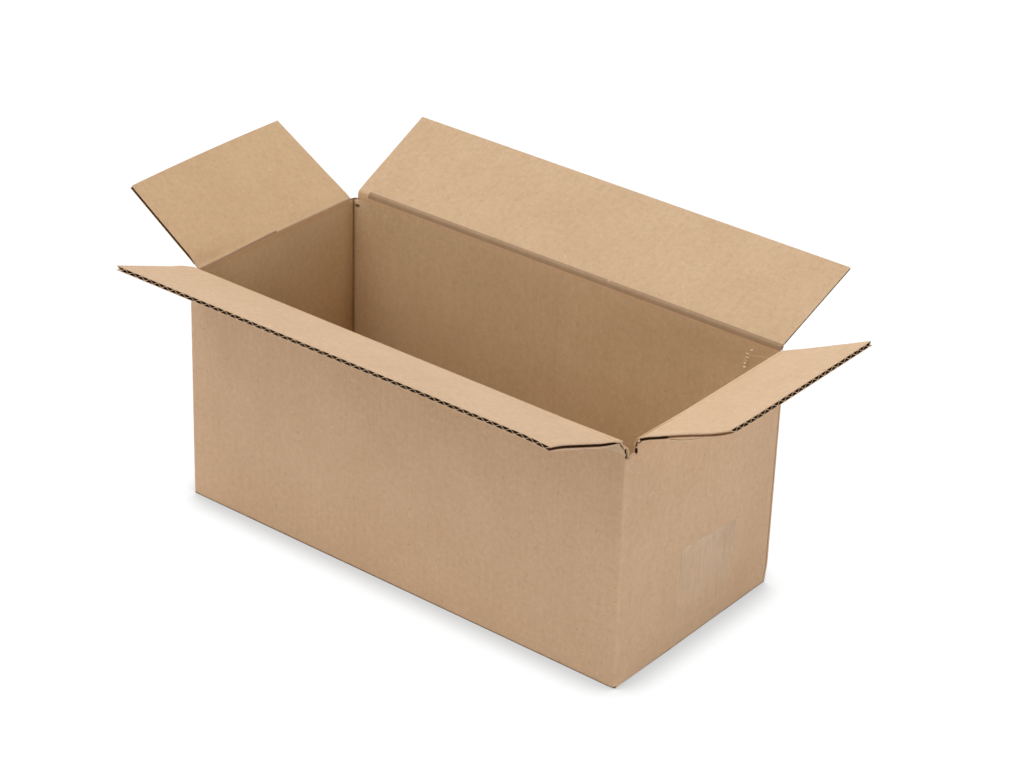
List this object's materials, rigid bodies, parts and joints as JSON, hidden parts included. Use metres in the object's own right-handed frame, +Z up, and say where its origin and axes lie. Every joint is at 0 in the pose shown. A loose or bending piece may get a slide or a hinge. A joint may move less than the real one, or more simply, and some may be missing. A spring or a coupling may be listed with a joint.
{
  "type": "open corrugated shipping carton",
  "caption": "Open slotted shipping carton of plain brown corrugated board, its bottom taped shut and its top flaps standing open on their fold lines.",
  "frame": {"origin": "centre of the carton's underside, midway between the walls, on the seam", "axes": "+Z up through the opening, +X along the front wall to the taped right end, -Y towards the front"},
  "size_m": [0.4139, 0.2593, 0.1768],
  "materials": {
    "kraft_board": "matt uncoated kraft liner with fine fibre specks and faint flute lines",
    "clear_tape": "clear packing film, slightly hazy over the board"
  },
  "bodies": {
    "carton": {"carton_body": "kraft_board", "bottom_tape": "clear_tape"},
    "front_flap": {"front_flap": "kraft_board"},
    "back_flap": {"back_flap": "kraft_board"},
    "left_flap": {"left_flap": "kraft_board"},
    "right_flap": {"right_flap": "kraft_board"}
  },
  "joints": [
    {"name": "front_fold", "type": "hinge", "parent": "carton", "child": "front_flap", "pos_m": [0, -0.0696, 0.1464], "axis": [1, 0, 0], "range_deg": [-159.2, 90.8]},
    {"name": "back_fold", "type": "hinge", "parent": "carton", "child": "back_flap", "pos_m": [0, 0.0696, 0.1464], "axis": [-1, 0, 0], "range_deg": [-155.2, 94.8]},
    {"name": "left_fold", "type": "hinge", "parent": "carton", "child": "left_flap", "pos_m": [-0.1521, 0, 0.1432], "axis": [0, -1, 0], "range_deg": [-149.1, 100.9]},
    {"name": "right_fold", "type": "hinge", "parent": "carton", "child": "right_flap", "pos_m": [0.1521, 0, 0.1432], "axis": [0, 1, 0], "range_deg": [-154.8, 95.2]}
  ]
}
